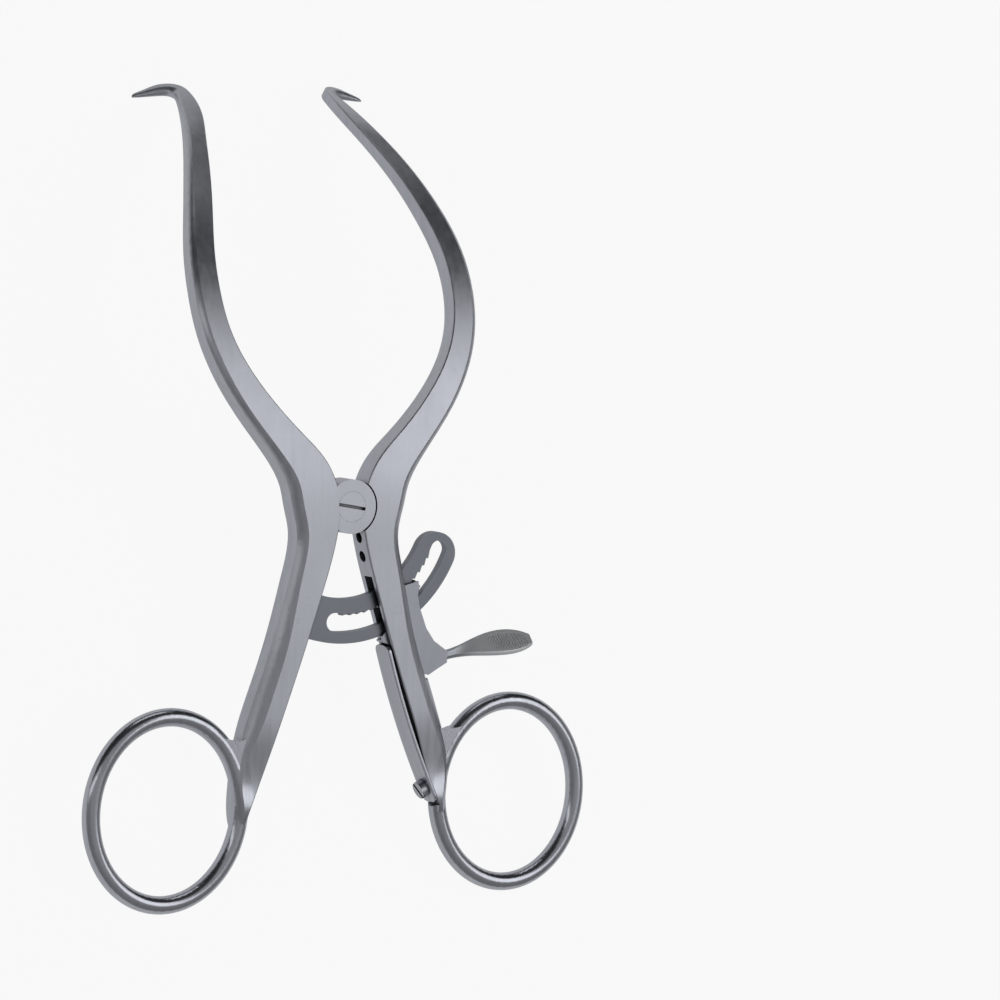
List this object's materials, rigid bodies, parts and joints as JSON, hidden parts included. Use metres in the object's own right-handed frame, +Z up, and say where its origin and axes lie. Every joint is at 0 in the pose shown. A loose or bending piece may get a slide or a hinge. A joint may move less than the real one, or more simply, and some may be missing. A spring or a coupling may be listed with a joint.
{
  "type": "self retaining retractor",
  "caption": "Ring handled surgical retractor with crossed curved arms, sharp outturned prongs, a slotted ratchet arc and a sprung release lever.",
  "frame": {"origin": "pivot axis at the back face of the box joint", "axes": "+Y from the joint towards the prongs, +X towards the arm with the release lever, +Z up from the surface that the instrument lies on"},
  "size_m": [0.1208, 0.1763, 0.0308],
  "materials": {
    "arm_steel": "satin stainless steel, finely brushed along the arm",
    "screw_steel": "turned stainless steel",
    "rack_steel": "darker satin stainless steel",
    "lever_steel": "satin stainless steel with fine ridges on the tab",
    "spring_steel": "smooth spring steel strip"
  },
  "bodies": {
    "right_side": {"right_arm": "arm_steel", "pivot_screw": "screw_steel", "pawl_pin": "arm_steel", "leaf_spring": "spring_steel", "spring_screw": "screw_steel"},
    "left_side": {"left_arm": "arm_steel", "ratchet_rack": "rack_steel", "rack_rivets": "arm_steel"},
    "lever": {"release_pawl": "lever_steel"}
  },
  "joints": [
    {"name": "arm_hinge", "type": "hinge", "parent": "right_side", "child": "left_side", "pos_m": [0, 0, 0], "axis": [0, -0.2487, 0.9686], "range_deg": [-22, 26.4]},
    {"name": "lever_hinge", "type": "hinge", "parent": "right_side", "child": "lever", "pos_m": [0.01141, -0.02194, -0.00266], "axis": [0, -0.2487, 0.9686], "range_deg": [-6, 3.6], "stiffness_Nm_per_rad": 0.2, "deforming": ["leaf_spring"]}
  ]
}
